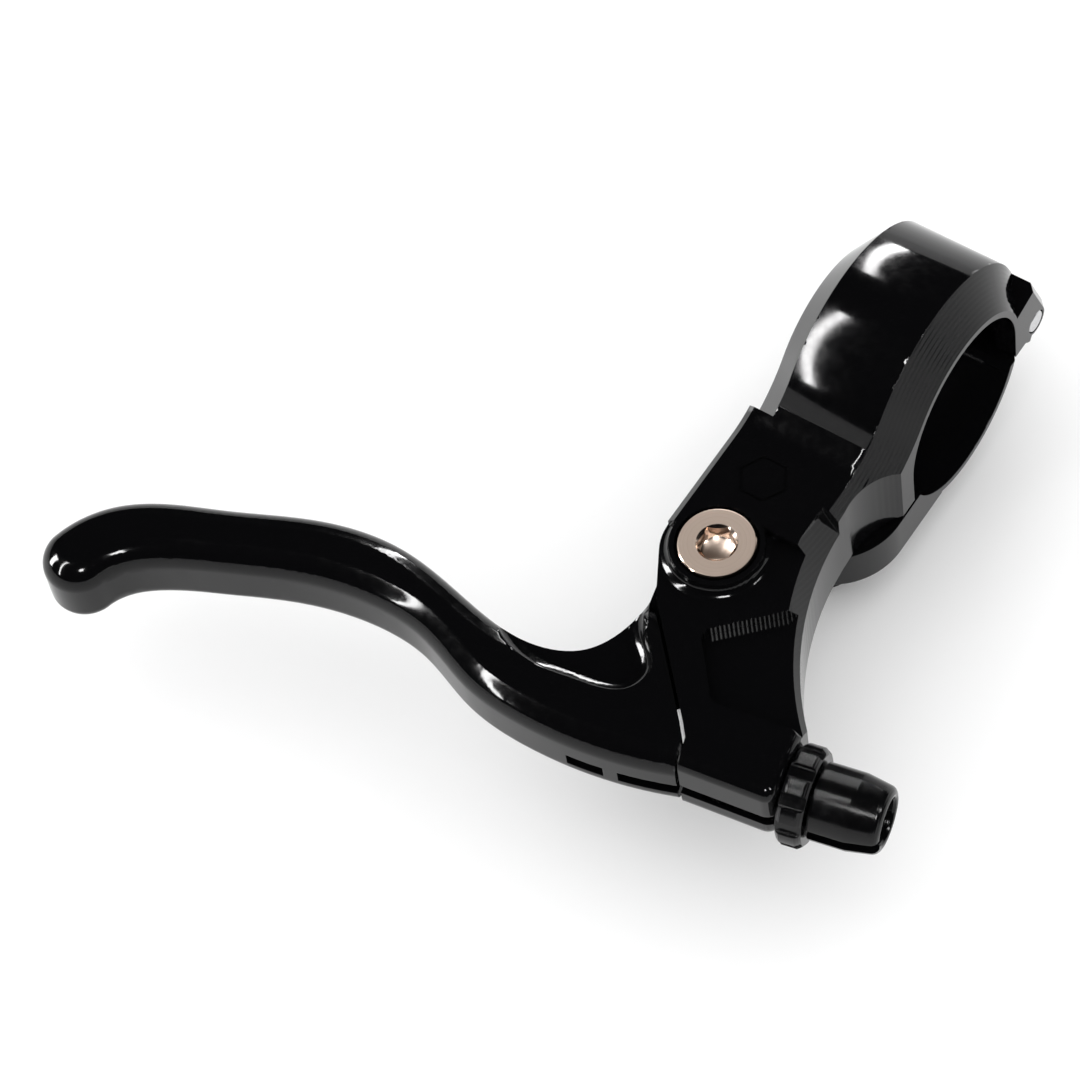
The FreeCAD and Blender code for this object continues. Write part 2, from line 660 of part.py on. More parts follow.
def adjuster_lock_wheel():
    """Lobed lock wheel on the barrel's thread, against the front block."""
    low, high = lock_gap, lock_gap + wheel_thickness
    edge = 0.6
    profile = [(low, stem_radius + thread_clearance), (low, wheel_radius - edge),
               (low + edge, wheel_radius), (high - edge, wheel_radius),
               (high, wheel_radius - edge), (high, stem_radius + thread_clearance)]
    wheel = turned(profile)
    notch = rod(wheel_radius + 0.35, 0, 0.95, low - 1, high + 1)
    notches = []
    for k in range(wheel_lobes):
        copy = notch.copy()
        copy.rotate(V(), X_AXIS, 360 * (k + 0.5) / wheel_lobes)
        notches.append(copy)
    slot = box((low - 1, high + 1), (-cable_slot / 2, cable_slot / 2), (-12, 0))
    return on_cable(wheel.cut(notches + [slot]).removeSplitter())


def housing_seat():
    """Steel seat at the bottom of the barrel's bore that the cable housing ends against."""
    start = wheel_thickness + 2 * lock_gap + barrel_length - housing_depth - seat_pocket
    ring = rod(0, 0, seat_radius - press_clearance, start, start + seat_thickness)
    return on_cable(ring.cut(rod(0, 0, cable_slot / 2, start - 1, start + 9)))


def main():
    os.makedirs("parts", exist_ok=True)
    pieces = {
        "perch_body": perch_body(),
        "clamp_half": clamp_half(),
        "clamp_hinge_pin": clamp_hinge_pin(),
        "clamp_bolt": clamp_bolt(),
        "clamp_bolt_washer": clamp_bolt_washer(),
        "lever_blade": lever_blade(),
        "pivot_bolt": pivot_bolt(),
        "pivot_sleeve": pivot_sleeve(),
        "upper_bush": flanged_bush(True),
        "lower_bush": flanged_bush(False),
        "adjuster_barrel": adjuster_barrel(),
        "adjuster_lock_wheel": adjuster_lock_wheel(),
        "housing_seat": housing_seat(),
    }
    for name, shape in pieces.items():
        shape.exportStep(f"parts/{name}.step")


if __name__ == "__main__":
    main()
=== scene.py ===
import json
import math
import bpy
from bpy.props import FloatProperty, IntProperty, PointerProperty, StringProperty
from mathutils import Matrix, Vector

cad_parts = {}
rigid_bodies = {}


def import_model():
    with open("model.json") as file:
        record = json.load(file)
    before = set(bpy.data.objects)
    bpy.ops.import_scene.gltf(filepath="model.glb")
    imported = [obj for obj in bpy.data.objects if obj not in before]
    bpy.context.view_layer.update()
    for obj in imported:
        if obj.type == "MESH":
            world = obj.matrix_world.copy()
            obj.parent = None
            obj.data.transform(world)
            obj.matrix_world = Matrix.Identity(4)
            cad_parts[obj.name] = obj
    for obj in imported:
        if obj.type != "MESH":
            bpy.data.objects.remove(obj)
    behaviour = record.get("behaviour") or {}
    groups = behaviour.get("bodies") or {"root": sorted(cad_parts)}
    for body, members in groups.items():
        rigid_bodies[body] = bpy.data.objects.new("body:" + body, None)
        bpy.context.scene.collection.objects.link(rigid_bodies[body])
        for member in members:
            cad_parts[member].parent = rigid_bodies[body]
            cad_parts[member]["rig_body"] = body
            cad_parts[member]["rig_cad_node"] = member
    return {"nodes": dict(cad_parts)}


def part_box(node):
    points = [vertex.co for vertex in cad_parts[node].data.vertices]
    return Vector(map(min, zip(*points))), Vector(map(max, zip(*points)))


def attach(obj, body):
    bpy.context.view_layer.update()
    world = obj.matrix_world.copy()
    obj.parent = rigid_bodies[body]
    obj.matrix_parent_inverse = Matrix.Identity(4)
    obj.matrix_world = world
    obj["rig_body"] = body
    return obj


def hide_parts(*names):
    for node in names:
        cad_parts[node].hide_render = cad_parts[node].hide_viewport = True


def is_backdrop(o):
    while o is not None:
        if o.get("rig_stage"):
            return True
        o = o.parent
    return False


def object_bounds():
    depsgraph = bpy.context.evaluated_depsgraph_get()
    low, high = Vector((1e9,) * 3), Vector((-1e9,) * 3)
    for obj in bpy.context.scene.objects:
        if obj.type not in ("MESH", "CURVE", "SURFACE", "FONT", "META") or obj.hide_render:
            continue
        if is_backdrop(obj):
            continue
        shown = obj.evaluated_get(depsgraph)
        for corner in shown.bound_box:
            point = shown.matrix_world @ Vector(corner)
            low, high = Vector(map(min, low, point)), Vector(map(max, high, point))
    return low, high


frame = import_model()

bl_info = {
    "name": "Clutch Lever Parts",
    "version": (1, 0, 0),
    "blender": (4, 5, 0),
    "location": "View3D > Sidebar > Lever",
    "description": "Finishes and turned parts for a machined cable clutch lever",
    "category": "Add Mesh",
}

MM = 0.001

# Noise scales, in patches per metre.
SKIN_HAZE = 900.0       # polished black: about 1.1 mm across
LATHE_HAZE = 1200.0     # turned black: about 0.8 mm
GRINDING_HAZE = 2500.0  # ground steel: 0.4 mm
OXIDE_HAZE = 1800.0     # black oxide: about 0.55 mm
BRONZE_HAZE = 4000.0    # sintered bronze: 0.25 mm
BRONZE_PORES = 9000.0   # about 0.11 mm
FACING_RINGS = 9000.0   # facing tool's marks: about 0.11 mm apart
PAPER_GRAIN = 500.0     # 2 mm

PAST_ANY_NORMAL = 2.0   # an upper limit that no part of a unit normal reaches
LATHE_DEPTH = 0.006 * MM
JOIN_DISTANCE = 1e-6    # corners of a CAD node's loose triangles that are one point
SLIVER = 2e-6           # triangles thinner than this are merged away
RING_JOIN = 0.5e-6      # first and last ring of a closed turned part

CABLE_EXIT = (18.3 * MM, -51.6 * MM, 0.3 * MM)  # middle of the front block's face

# Sweep of the paper floor: its radius, then each step's widening and rise.
FLOOR_RADIUS = 2.2
FLOOR_SWEEP = ((1.08, 0.03), (1.08, 0.1), (1.05, 0.16), (1.03, 0.2))
FLOOR_GAP = 0.2 * MM

# Glowing strips: name, both ends as (azimuth, elevation), width in degrees, radiance.
STRIPS = (("left_strip", (127, 47), (112, 11), 2.4, 45.0),
          ("front_strip", (-171.5, 65), (-116.5, 20), 2.6, 50.0),
          ("lever_strip", (-168, 44), (-150, 12), 10, 45.0),
          ("front_card", (-54, 58), (-54, 68), 10, 45.0),
          ("right_card", (17, 47), (17, 55), 8, 40.0))
STRIP_DISTANCE = 1.2

CAMERA_PLACE = (0.15625, -0.22683, 0.42632)
CAMERA_RIGHT = Vector((0.8254407636, 0.5551922714, -0.1020249361))
CAMERA_DOWN = Vector((0.4358509095, -0.7416960475, -0.5098244382))
CAMERA_AHEAD = Vector((-0.3587220797, 0.3763622124, -0.8542072082))


# --- finishes ------------------------------------------------------------------------------------
def linear(hex_colour):
    """sRGB hex colour as a linear RGBA value."""
    parts = [int(hex_colour[i:i + 2], 16) / 255 for i in (1, 3, 5)]
    return [c / 12.92 if c <= 0.04045 else ((c + 0.055) / 1.055) ** 2.4 for c in parts] + [1.0]


def add_node(tree, kind, settings=None, inputs=None):
    """Add a node, set its properties, and set or link its inputs."""
    made = tree.nodes.new(kind)
    for name, value in (settings or {}).items():
        setattr(made, name, value)
    for socket, value in (inputs or {}).items():
        if isinstance(value, bpy.types.NodeSocket):
            tree.links.new(value, made.inputs[socket])
        else:
            made.inputs[socket].default_value = value
    return made


def math_node(tree, operation, first, second=0.0):
    """Result of a two-input maths node."""
    return add_node(tree, "ShaderNodeMath", {"operation": operation},
                    {0: first, 1: second}).outputs[0]


def new_material(name):
    """Empty node material with its output; returns it with its tree."""
    material = bpy.data.materials.new(name)
    material.use_nodes = True
    material.node_tree.nodes.clear()
    return material, material.node_tree


def finish_shader(tree, values):
    """Principled shader with the given socket values, wired to the output."""
    shader = add_node(tree, "ShaderNodeBsdfPrincipled", inputs=values)
    add_node(tree, "ShaderNodeOutputMaterial", inputs={"Surface": shader.outputs[0]})


def between(tree, value, low, high, soft):
    """1 where a value lies between two limits, with soft ends."""
    rise = add_node(tree, "ShaderNodeMapRange", {"interpolation_type": "SMOOTHSTEP"},
                    {0: value, 1: low - soft, 2: low + soft})
    fall = add_node(tree, "ShaderNodeMapRange", {"interpolation_type": "SMOOTHSTEP"},
                    {0: value, 1: high - soft, 2: high + soft, 3: 1.0, 4: 0.0})
    return math_node(tree, "MULTIPLY", rise.outputs[0], fall.outputs[0])


def speckle(tree, coordinates, scale, low, high):
    """Soft noise of a given scale, mapped to run from low to high."""
    noise = add_node(tree, "ShaderNodeTexNoise",
                     inputs={"Vector": coordinates, "Scale": scale, "Detail": 3.0})
    return add_node(tree, "ShaderNodeMapRange",
                    inputs={0: noise.outputs[0], 1: 0.35, 2: 0.65, 3: low, 4: high}).outputs[0]


def black_anodised(settings, name, crowned, striped):
    """Type II anodised, polished billet aluminium dyed black: deep black with a clear glassy skin.

    crowned: the arch over the bar is polished very slightly round across its width.
    striped: the ball cutter's passes still show on the sloped edges, lines of constant X.
    """
    material, tree = new_material(name)
    place = add_node(tree, "ShaderNodeTexCoord")
    split = add_node(tree, "ShaderNodeSeparateXYZ", inputs={0: place.outputs["Object"]})
    facing = add_node(tree, "ShaderNodeSeparateXYZ", inputs={0: place.outputs["Normal"]})
    edges = add_node(tree, "ShaderNodeBevel", {"samples": 6}, {"Radius": settings.edge_radius})
    true = add_node(tree, "ShaderNodeNewGeometry").outputs["True Normal"]
    level = add_node(tree, "ShaderNodeSeparateXYZ", inputs={0: add_node(
        tree, "ShaderNodeVectorTransform", {
            "vector_type": "NORMAL", "convert_from": "WORLD", "convert_to": "OBJECT"},
        {0: true}).outputs[0]})
    flat = between(tree, level.outputs[2], 0.99995, PAST_ANY_NORMAL, 0.00002)
    normal = add_node(tree, "ShaderNodeMix", {"data_type": "VECTOR"}, {
        0: flat, 4: edges.outputs[0], 5: true}).outputs[1]
    if crowned:
        lean = math_node(tree, "MULTIPLY", split.outputs[0], 1 / settings.crown_radius)
        out = add_node(tree, "ShaderNodeCombineXYZ", inputs={
            0: 0.0, 1: split.outputs[1], 2: split.outputs[2]})
        away = add_node(tree, "ShaderNodeVectorMath", {"operation": "LENGTH"}, {0: out.outputs[0]})
        unit = add_node(tree, "ShaderNodeVectorMath", {"operation": "NORMALIZE"},
                        {0: out.outputs[0]})
        leant = add_node(tree, "ShaderNodeCombineXYZ", inputs={0: lean})
        domed = add_node(tree, "ShaderNodeVectorMath", {"operation": "ADD"},
                         {0: unit.outputs[0], 1: leant.outputs[0]})
        crown = add_node(tree, "ShaderNodeVectorTransform", {
            "vector_type": "NORMAL", "convert_from": "OBJECT", "convert_to": "WORLD"},
            {0: domed.outputs[0]})
        skin = between(tree, away.outputs["Value"], settings.arch_radius - 0.12 * MM,
                       settings.arch_radius + 1 * MM, 0.03 * MM)
        square = between(tree, facing.outputs[0], -0.2, 0.2, 0.02)
        share = math_node(tree, "MULTIPLY", skin, square)
        normal = add_node(tree, "ShaderNodeMix", {"data_type": "VECTOR"}, {
            0: share, 4: normal, 5: crown.outputs[0]}).outputs[1]
    if striped:
        wave = math_node(tree, "SINE", math_node(tree, "MULTIPLY", split.outputs[0],
                                                 math.tau / settings.cutter_pitch))
        sloped = between(tree, facing.outputs[0], 0.45, 0.96, 0.03)
        height = math_node(tree, "MULTIPLY", wave, sloped)
        normal = add_node(tree, "ShaderNodeBump", inputs={
            "Strength": 1.0, "Distance": settings.cutter_depth, "Height": height,
            "Normal": normal}).outputs[0]
    haze = speckle(tree, place.outputs["Object"], SKIN_HAZE, low=settings.black_roughness * 0.8,
                   high=settings.black_roughness * 1.25)
    finish_shader(tree, {"Base Color": linear(settings.black), "Metallic": 0.0, "Roughness": haze,
                         "Specular IOR Level": settings.black_shine, "Normal": normal})
    return material


def turned_black(settings, name, pitch, depth, angle):
    """Black anodised over fine lathe marks: rings about the adjuster's line, seen in the glints."""
    material, tree = new_material(name)
    place = add_node(tree, "ShaderNodeTexCoord")
    turned = add_node(tree, "ShaderNodeMapping", inputs={
        "Vector": place.outputs["Object"], "Rotation": (0, 0, -angle)})
    split = add_node(tree, "ShaderNodeSeparateXYZ", inputs={0: turned.outputs[0]})
    wave = math_node(tree, "SINE", math_node(tree, "MULTIPLY", split.outputs[0], math.tau / pitch))
    edges = add_node(tree, "ShaderNodeBevel", {"samples": 4}, {"Radius": settings.edge_radius / 2})
    normal = add_node(tree, "ShaderNodeBump", inputs={
        "Strength": 1.0, "Distance": depth, "Height": wave, "Normal": edges.outputs[0]}).outputs[0]
    haze = speckle(tree, place.outputs["Object"], LATHE_HAZE, low=0.12, high=0.2)
    finish_shader(tree, {"Base Color": linear(settings.black), "Metallic": 0.0, "Roughness": haze,
                         "Specular IOR Level": settings.black_shine, "Normal": normal})
    return material


def turned_stainless(settings, name, centre):
    """Turned stainless steel: warm grey, with rings from the facing tool about the bolt's axis."""
    material, tree = new_material(name)
    place = add_node(tree, "ShaderNodeTexCoord")
    moved = add_node(tree, "ShaderNodeMapping", inputs={
        "Vector": place.outputs["Object"], "Location": (-centre[0], -centre[1], 0)})
    split = add_node(tree, "ShaderNodeSeparateXYZ", inputs={0: moved.outputs[0]})
    reach = math_node(tree, "SQRT", math_node(
        tree, "ADD", math_node(tree, "MULTIPLY", split.outputs[0], split.outputs[0]),
        math_node(tree, "MULTIPLY", split.outputs[1], split.outputs[1])))
    flat = add_node(tree, "ShaderNodeCombineXYZ", inputs={0: reach})
    rings = add_node(tree, "ShaderNodeTexNoise", inputs={
        "Vector": flat.outputs[0], "Scale": FACING_RINGS, "Detail": 2.0})
    facing = add_node(tree, "ShaderNodeSeparateXYZ", inputs={0: place.outputs["Normal"]})
    faced = between(tree, facing.outputs[2], 0.9, PAST_ANY_NORMAL, 0.03)
    normal = add_node(tree, "ShaderNodeBump", inputs={
        "Strength": 1.0, "Distance": settings.ring_depth,
        "Height": math_node(tree, "MULTIPLY", rings.outputs[0], faced)}).outputs[0]
    shade = add_node(tree, "ShaderNodeMix", {"data_type": "RGBA"}, {
        0: rings.outputs[0], 6: linear(settings.steel_dark), 7: linear(settings.steel_light)})
    rough = add_node(tree, "ShaderNodeMapRange", inputs={0: faced, 3: 0.16, 4: 0.38})
    finish_shader(tree, {"Base Color": shade.outputs[2], "Metallic": 1.0,
                         "Roughness": rough.outputs[0], "Normal": normal})
    return material


def ground_steel(settings):
    """Centreless-ground steel pin: bright, with faint grinding haze."""
    material, tree = new_material("Ground steel")
    place = add_node(tree, "ShaderNodeTexCoord")
    haze = speckle(tree, place.outputs["Object"], GRINDING_HAZE, low=0.16, high=0.3)
    finish_shader(tree, {"Base Color": linear(settings.pin_steel), "Metallic": 1.0,
                         "Roughness": haze})
    return material


def black_oxide(settings):
    """Black-oxide steel screw: dull black with a slight oily sheen."""
    material, tree = new_material("Black oxide steel")
    place = add_node(tree, "ShaderNodeTexCoord")
    haze = speckle(tree, place.outputs["Object"], OXIDE_HAZE, low=0.32, high=0.48)
    finish_shader(tree, {"Base Color": linear(settings.oxide), "Metallic": 0.6, "Roughness": haze})
    return material


def sintered_bronze(settings):
    """Oil-filled sintered bronze: brown-gold, with open pores about 0.1 mm across."""
    material, tree = new_material("Sintered bronze")
    place = add_node(tree, "ShaderNodeTexCoord")
    pores = add_node(tree, "ShaderNodeTexVoronoi", inputs={
        "Vector": place.outputs["Object"], "Scale": BRONZE_PORES})
    normal = add_node(tree, "ShaderNodeBump", inputs={
        "Strength": 0.6, "Distance": 0.02 * MM, "Height": pores.outputs[0]}).outputs[0]
    haze = speckle(tree, place.outputs["Object"], BRONZE_HAZE, low=0.38, high=0.55)
    finish_shader(tree, {"Base Color": linear(settings.bronze), "Metallic": 1.0,
                         "Roughness": haze, "Normal": normal})
    return material


# --- modelling -----------------------------------------------------------------------------------
def nothing_selected():
    """Leave edit mode and deselect everything."""
    if bpy.context.object and bpy.context.object.mode != "OBJECT":
        bpy.ops.object.mode_set(mode="OBJECT")
    bpy.ops.object.select_all(action="DESELECT")


def only(piece):
    """Make one object the selected and active one."""
    nothing_selected()
    piece.select_set(True)
    bpy.context.view_layer.objects.active = piece


def turn(name, profile, sides=96, closed=False):
    """Turned part about Z: a ring drawn up and scaled through (height, radius) steps in mm.

    closed joins the last ring to the first; otherwise both ends are faced over.
    """
    nothing_selected()
    height, radius = profile[0]
    bpy.ops.mesh.primitive_circle_add(vertices=sides, radius=radius * MM, fill_type="NOTHING")
    piece = bpy.context.object
    piece.name = name
    bpy.ops.object.mode_set(mode="EDIT")
    bpy.ops.mesh.select_all(action="SELECT")
    bpy.ops.transform.translate(value=(0, 0, height * MM))
    if not closed:
        bpy.ops.mesh.edge_face_add()
        bpy.ops.mesh.select_mode(type="EDGE")
        bpy.ops.mesh.select_all(action="SELECT")
    for next_height, next_radius in profile[1:]:
        bpy.ops.mesh.extrude_edges_move(
            TRANSFORM_OT_translate={"value": (0, 0, (next_height - height) * MM)})
        if next_radius != radius:
            share = next_radius / radius
            bpy.ops.transform.resize(value=(share, share, 1),
                                     center_override=(0, 0, next_height * MM))
        height, radius = next_height, next_radius
    if closed:
        bpy.ops.mesh.select_all(action="SELECT")
        bpy.ops.mesh.remove_doubles(threshold=RING_JOIN)
    else:
        bpy.ops.mesh.edge_face_add()
    bpy.ops.mesh.select_all(action="SELECT")
    bpy.ops.mesh.normals_make_consistent(inside=False)
    bpy.ops.object.mode_set(mode="OBJECT")
    return piece


def apply_cut(piece, cutter):
    """Subtract a cutter from a piece and remove it."""
    only(piece)
    cut = piece.modifiers.new("cut", "BOOLEAN")
    cut.operation = "DIFFERENCE"
    cut.solver = "EXACT"
    cut.object = cutter
    bpy.ops.object.modifier_apply(modifier=cut.name)
    bpy.data.objects.remove(cutter)


def place_on(piece, matrix):
    """Carry a piece modelled at the origin to its place, which its mesh then holds."""
    only(piece)
    piece.matrix_world = matrix
    bpy.ops.object.transform_apply(location=True, rotation=True, scale=True)


def smoothed(piece, degrees):
    """Smooth-shade a piece, keep edges over the angle sharp, and let large faces look flat."""
    only(piece)
    bpy.ops.object.shade_smooth()
    bpy.ops.object.mode_set(mode="EDIT")
    bpy.ops.mesh.select_mode(type="EDGE")
    bpy.ops.mesh.select_all(action="DESELECT")
    bpy.ops.mesh.edges_select_sharp(sharpness=math.radians(degrees))
    bpy.ops.mesh.mark_sharp()
    bpy.ops.object.mode_set(mode="OBJECT")
    weigh = piece.modifiers.new("weigh", "WEIGHTED_NORMAL")
    weigh.mode = "FACE_AREA_WITH_ANGLE"
    weigh.weight = 80
    weigh.keep_sharp = True
    bpy.ops.object.modifier_apply(modifier=weigh.name)


def hex_cutter(flats, depth):
    """Hexagon key hole below z = 0 with a chamfered mouth and a drill point, in mm."""
    nothing_selected()
    corner = flats / math.sqrt(3)
    proud = 1
    chamfer = 0.35
    bpy.ops.mesh.primitive_cylinder_add(vertices=6, radius=corner * MM,
                                        depth=(depth + proud) * MM,
                                        location=(0, 0, (proud - depth) / 2 * MM))
    key = bpy.context.object
    bpy.ops.mesh.primitive_cone_add(vertices=64, radius1=(corner - chamfer) * MM,
                                    radius2=(corner + chamfer) * MM, depth=2 * chamfer * MM,
                                    location=(0, 0, -0.05 * MM))
    mouth = bpy.context.object
    reach = flats / 2 * 0.98
    bpy.ops.mesh.primitive_cone_add(vertices=64, radius1=0, radius2=reach * MM,
                                    depth=reach * 0.55 * MM,
                                    location=(0, 0, (-depth - reach * 0.275 + 0.02) * MM))
    point = bpy.context.object
    for extra in (mouth, point):
        only(key)
        joined = key.modifiers.new("join", "BOOLEAN")
        joined.operation = "UNION"
        joined.solver = "EXACT"
        joined.object = extra
        bpy.ops.object.modifier_apply(modifier=joined.name)
        bpy.data.objects.remove(extra)
    return key


def thread(start, end, core, outside, pitch):
    """A thread drawn as rings: each turn's root, crest, crest and root, as (height, radius)."""
    turns = int(abs(end - start) / pitch)
    step = (end - start) / turns
    return [(start + (k + share) * step, radius) for k in range(turns) for share, radius in (
        (0.1, core), (0.45, outside), (0.6, outside), (0.95, core))]


def copied_node(name, piece_name):
    """Merged, smooth-shaded copy of a CAD node, to take a machined part's finish."""
    only(frame["nodes"][name])
    bpy.ops.object.duplicate()
    piece = bpy.context.object
    piece.name = piece_name
    piece.data.name = piece_name
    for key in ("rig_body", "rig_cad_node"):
        del piece[key]
    piece.parent = None
    bpy.ops.object.mode_set(mode="EDIT")
    bpy.ops.mesh.select_all(action="SELECT")
    bpy.ops.mesh.remove_doubles(threshold=JOIN_DISTANCE)
    bpy.ops.mesh.dissolve_degenerate(threshold=SLIVER)
    bpy.ops.object.mode_set(mode="OBJECT")
    smoothed(piece, degrees=14)
    return piece


def finished(piece, body, slot, material, *nodes):
    """Give a piece its finish and body, and let it stand for its CAD nodes."""
    piece.data.materials.clear()
    piece.data.materials.append(material)
    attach(piece, body)
    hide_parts(*nodes)


# --- sizes and colours ---------------------------------------------------------------------------
class FinishSettings(bpy.types.PropertyGroup):
    """Colours, haze and tool marks of the finishes"""
    black: StringProperty(name="Black", description="Dyed anodising, sRGB hex", default="#070708")
    black_roughness: FloatProperty(name="Black roughness", description="Haze of the polished skin",
                                   default=0.085, min=0, max=1, subtype="FACTOR")
    black_shine: FloatProperty(name="Black shine", description="Strength of the skin's reflections",
                               default=0.26, min=0, max=1, subtype="FACTOR")
    arch_radius: FloatProperty(name="Arch radius", description="Outside of the arch over the bar",
                               default=16.3 * MM, unit="LENGTH")
    edge_radius: FloatProperty(name="Edge radius", description="Tumbled radius on machined edges",
                               default=0.12 * MM, unit="LENGTH")
    crown_radius: FloatProperty(name="Crown radius", description="Polished round across the arch",
                                default=60 * MM, unit="LENGTH")
    cutter_pitch: FloatProperty(name="Cutter pitch",
                                description="Spacing of the ball cutter's passes",
                                default=0.35 * MM, unit="LENGTH")
    cutter_depth: FloatProperty(name="Cutter depth", description="Height of the passes",
                                default=0.004 * MM, unit="LENGTH")
    ring_depth: FloatProperty(name="Ring depth", description="Height of the bolt's facing marks",
                              default=0.004 * MM, unit="LENGTH")
    steel_dark: StringProperty(name="Stainless, dark", description="sRGB hex", default="#a8968a")
    steel_light: StringProperty(name="Stainless, light", description="sRGB hex", default="#c9b8aa")
    pin_steel: StringProperty(name="Pin steel", description="sRGB hex", default="#c4c4c6")
    oxide: StringProperty(name="Black oxide", description="sRGB hex", default="#17171a")
    bronze: StringProperty(name="Bronze", description="sRGB hex", default="#8f6a3c")


class BoltSettings(bpy.types.PropertyGroup):
    """Heads and keys of the pivot bolt and the clamp screw"""
    pivot_head_radius: FloatProperty(name="Pivot head radius", description="In mm", default=4.45)
    pivot_key: FloatProperty(name="Pivot key", description="Hexagon across flats, mm", default=4.0)
    clamp_head_radius: FloatProperty(name="Clamp head radius", description="In mm", default=4.25)
    clamp_key: FloatProperty(name="Clamp key", description="Hexagon across flats, mm", default=4.0)
    knurls: IntProperty(name="Knurls", description="Grooves round the clamp screw's head",
                        default=44)


class AdjusterSettings(bpy.types.PropertyGroup):
    """Line, lobes and lathe marks of the cable adjuster"""
    angle: FloatProperty(name="Cable angle", description="Between the cable and the bar",
                         default=math.radians(12), subtype="ANGLE")
    lobes: IntProperty(name="Lobes", description="Finger lobes on the lock wheel", default=10)
    mark_pitch: FloatProperty(name="Lathe marks", description="Spacing of the lathe marks",
                              default=0.24 * MM, unit="LENGTH")


class StageSettings(bpy.types.PropertyGroup):
    """Floor colour and lens"""
    floor: StringProperty(name="Floor", description="Paper sweep, sRGB hex", default="#f6f6f6")
    lens: FloatProperty(name="Lens", description="Focal length, mm", default=148.33)


# --- operators -----------------------------------------------------------------------------------
def cable_frame(angle):
    """Matrix that carries a part turned about Z onto the cable's line at the front block's face."""
    turn_over = Matrix(((0, 0, 1), (1, 0, 0), (0, 1, 0))).to_4x4()
    return Matrix.Translation(CABLE_EXIT) @ Matrix.Rotation(angle, 4, "Z") @ turn_over


class LEVER_OT_bodies(bpy.types.Operator):
    """Finish the machined perch, clamp half and lever"""
    bl_idname = "lever.bodies"
    bl_label = "Machined bodies"

    def execute(self, context):
        finish = context.scene.lever_finish
        arch = black_anodised(finish, "Black anodised billet, perch", crowned=True, striped=True)
        plain = black_anodised(finish, "Black anodised billet, lever", crowned=False,
                               striped=False)
        for node, body, material in (("perch_body", "perch", arch), ("clamp_half", "clamp", plain),
                                     ("lever_blade", "lever", plain)):
            piece = copied_node(node, node + "_finished")
            finished(piece, body, "black_anodised", material, node)
        return {"FINISHED"}


class LEVER_OT_pivot_bolt(bpy.types.Operator):
    """Model the turned pivot bolt with its key hole and thread"""
    bl_idname = "lever.pivot_bolt"
    bl_label = "Pivot bolt"

    def execute(self, context):
        bolts = context.scene.lever_bolts
        low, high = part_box("pivot_bolt")
        centre = (low + high) / 2
        tall = (high.z - low.z) / MM
        r = bolts.pivot_head_radius
        profile = [(-tall, 2.05), (-tall + 0.4, 2.45)]
        profile += thread(-tall + 0.4, -tall + 3.2, 2.12, 2.46, 0.8)
        profile += [(-tall + 3.4, 2.5), (-2.0, 2.5), (-2.0, r - 0.06), (-1.94, r), (-0.26, r),
                    (-0.12, r - 0.06), (-0.03, r - 0.16), (0, r - 0.27)]
        bolt = turn("pivot_bolt_turned", profile)
        apply_cut(bolt, hex_cutter(bolts.pivot_key, depth=1.9))
        place_on(bolt, Matrix.Translation((centre.x, centre.y, high.z)))
        smoothed(bolt, degrees=22)
        material = turned_stainless(context.scene.lever_finish, "Turned stainless steel", centre)
        finished(bolt, "perch", "stainless", material, "pivot_bolt")
        return {"FINISHED"}


class LEVER_OT_clamp_screw(bpy.types.Operator):
    """Model the socket head screw that closes the clamp"""
    bl_idname = "lever.clamp_screw"
    bl_label = "Clamp screw"

    def execute(self, context):
        bolts = context.scene.lever_bolts
        low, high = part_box("clamp_bolt")
        centre = (low + high) / 2
        tall = (high.z - low.z) / MM
        r = bolts.clamp_head_radius
        profile = [(0, r - 0.5), (0.15, r - 0.22), (0.5, r), (5.0, r), (5.0, 2.5), (10.6, 2.5)]
        profile += thread(10.9, tall - 0.4, 2.06, 2.48, 0.8)
        profile += [(tall - 0.3, 2.0), (tall, 1.8)]
        screw = turn("clamp_bolt_turned", profile)
        nothing_selected()
        bpy.ops.mesh.primitive_cylinder_add(vertices=6, radius=0.16 * MM, depth=3.6 * MM,
                                            location=((r + 0.06) * MM, 0, 2.9 * MM))
        groove = context.object
        cutters = [groove]
        for k in range(1, bolts.knurls):
            only(groove)
            bpy.ops.object.duplicate()
            copy = context.object
            round_head = Matrix.Rotation(math.tau * k / bolts.knurls, 4, "Z")
            copy.matrix_world = round_head @ groove.matrix_world
            cutters.append(copy)
        nothing_selected()
        for cutter in cutters:
            cutter.select_set(True)
        context.view_layer.objects.active = groove
        bpy.ops.object.join()
        apply_cut(screw, context.object)
        key = hex_cutter(bolts.clamp_key, depth=2.4)
        key.matrix_world = Matrix.Rotation(math.pi, 4, "X") @ key.matrix_world
        apply_cut(screw, key)
        place_on(screw, Matrix.Translation((centre.x, centre.y, low.z)))
        smoothed(screw, degrees=25)
        finished(screw, "clamp_screw", "black_oxide_steel",
                 black_oxide(context.scene.lever_finish), "clamp_bolt")
        return {"FINISHED"}


